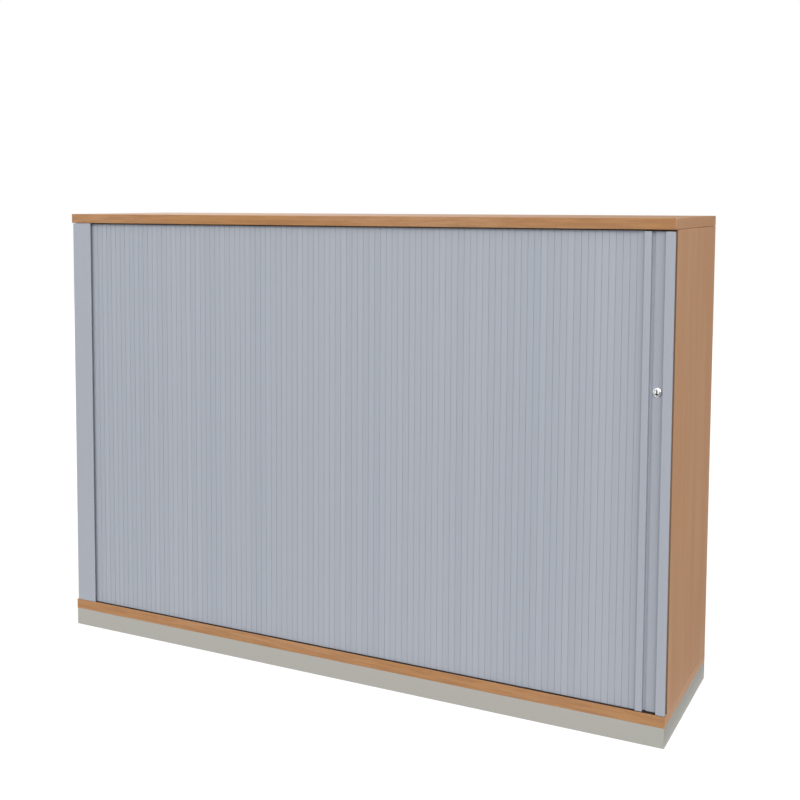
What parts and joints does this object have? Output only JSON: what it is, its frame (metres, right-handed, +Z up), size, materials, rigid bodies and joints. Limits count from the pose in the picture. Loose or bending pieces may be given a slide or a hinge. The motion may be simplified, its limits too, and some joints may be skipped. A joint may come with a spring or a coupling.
{
  "type": "tambour door cabinet",
  "caption": "Wood-look storage cabinet with a side-sliding slatted tambour door, silver front profiles, a hook lock, shelved bays behind and a grey plinth.",
  "frame": {"origin": "on the floor, under the middle of the cabinet's outer box", "axes": "+X along the front towards the lock side, +Y from the front to the back, +Z up"},
  "size_m": [1.6, 0.44, 1.135],
  "materials": {
    "beech_board": "satin",
    "silver_profile": "satin",
    "slat_plastic": "satin",
    "plinth_steel": "satin",
    "dark_plastic": "matte",
    "lock_chrome": "polished",
    "zinc_steel": "satin"
  },
  "bodies": {
    "carcass": {"top_panel": "beech_board", "base_panel": "beech_board", "left_side_panel": "beech_board", "right_side_panel": "beech_board", "back_panel": "beech_board", "inner_side_panel": "beech_board", "inner_back_panel": "beech_board", "centre_divider": "beech_board", "left_lower_shelf": "beech_board", "left_upper_shelf": "beech_board", "right_lower_shelf": "beech_board", "right_upper_shelf": "beech_board", "left_bay_lower_pin_left_front": "zinc_steel", "left_bay_lower_pin_left_rear": "zinc_steel", "left_bay_lower_pin_right_front": "zinc_steel", "left_bay_lower_pin_right_rear": "zinc_steel", "left_bay_upper_pin_left_front": "zinc_steel", "left_bay_upper_pin_left_rear": "zinc_steel", "left_bay_upper_pin_right_front": "zinc_steel", "left_bay_upper_pin_right_rear": "zinc_steel", "right_bay_lower_pin_left_front": "zinc_steel", "right_bay_lower_pin_left_rear": "zinc_steel", "right_bay_lower_pin_right_front": "zinc_steel", "right_bay_lower_pin_right_rear": "zinc_steel", "right_bay_upper_pin_left_front": "zinc_steel", "right_bay_upper_pin_left_rear": "zinc_steel", "right_bay_upper_pin_right_front": "zinc_steel", "right_bay_upper_pin_right_rear": "zinc_steel", "left_post": "silver_profile", "right_edge_strip": "silver_profile", "plinth_front_rail": "plinth_steel", "plinth_right_rail": "plinth_steel", "plinth_rear_rail": "plinth_steel", "plinth_left_rail": "plinth_steel", "plinth_bracket_front_left": "zinc_steel", "plinth_bracket_front_right": "zinc_steel", "plinth_bracket_rear_left": "zinc_steel", "plinth_bracket_rear_right": "zinc_steel", "bottom_track": "dark_plastic", "top_track": "dark_plastic", "strike_plate": "zinc_steel", "closing_buffer_bottom": "dark_plastic", "closing_buffer_top": "dark_plastic", "cam_fitting_left_bottom_front": "zinc_steel", "cam_fitting_left_bottom_rear": "zinc_steel", "cam_fitting_left_top_front": "zinc_steel", "cam_fitting_left_top_rear": "zinc_steel", "cam_fitting_right_bottom_front": "zinc_steel", "cam_fitting_right_bottom_rear": "zinc_steel", "cam_fitting_right_top_front": "zinc_steel", "cam_fitting_right_top_rear": "zinc_steel", "tambour_curtain": "slat_plastic", "curtain_tail": "slat_plastic"},
    "stile": {"lead_stile": "silver_profile", "stile_glide_bottom": "dark_plastic", "stile_glide_top": "dark_plastic", "lock_rosette": "lock_chrome"},
    "lock_plug": {"lock_cylinder": "lock_chrome", "lock_cam": "zinc_steel", "lock_cam_screw": "zinc_steel"}
  },
  "joints": [
    {"name": "tambour_slide", "type": "slide", "parent": "carcass", "child": "stile", "axis": [-1, 0, 0], "range_m": [0, 1.468], "deforming": ["tambour_curtain"]},
    {"name": "lock_turn", "type": "hinge", "parent": "stile", "child": "lock_plug", "pos_m": [0.7668, -0.21, 0.767], "axis": [0, -1, 0], "range_deg": [0, 90]}
  ]
}
